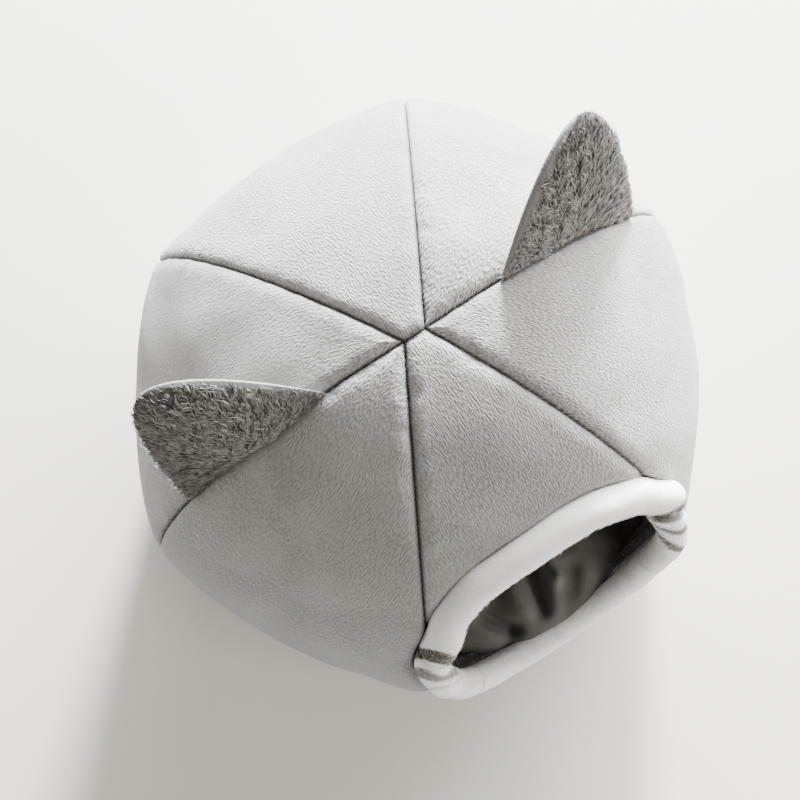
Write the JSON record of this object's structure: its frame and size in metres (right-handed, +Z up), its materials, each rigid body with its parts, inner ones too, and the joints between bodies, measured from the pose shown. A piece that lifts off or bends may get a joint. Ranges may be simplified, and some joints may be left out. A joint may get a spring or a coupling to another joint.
{
  "type": "cat house",
  "caption": "Padded velvet dome house for a cat, sewn from wedge panels, with a plush-edged doorway, two stuffed ears, a dark lining and a loose cushion.",
  "frame": {"origin": "on the floor, in the middle of the flat underside of the base pad", "axes": "+Z up; the doorway faces -Y; +X is to the right when the doorway is looked at from the front"},
  "size_m": [0.4298, 0.4127, 0.3526],
  "materials": {
    "velvet": "short velvet pile, pale cool grey",
    "grey_plush": "long curly plush, mid grey",
    "white_plush": "short soft plush, white",
    "striped_plush": "short soft plush, white with mottled grey stripes",
    "lining": "smooth short-pile cloth, dark grey"
  },
  "bodies": {
    "root": {"panel_front": "velvet", "panel_sill": "velvet", "panel_left": "velvet", "panel_right": "velvet", "panel_back": "velvet", "panel_back_left": "velvet", "panel_back_right": "velvet", "base_pad": "velvet", "lining": "lining", "cushion": "lining", "roll_upper": "white_plush", "roll_lower": "white_plush", "roll_end_left": "striped_plush", "roll_end_right": "striped_plush", "ear_left_front": "grey_plush", "ear_left_back": "velvet", "ear_right_front": "grey_plush", "ear_right_back": "velvet"}
  },
  "joints": []
}
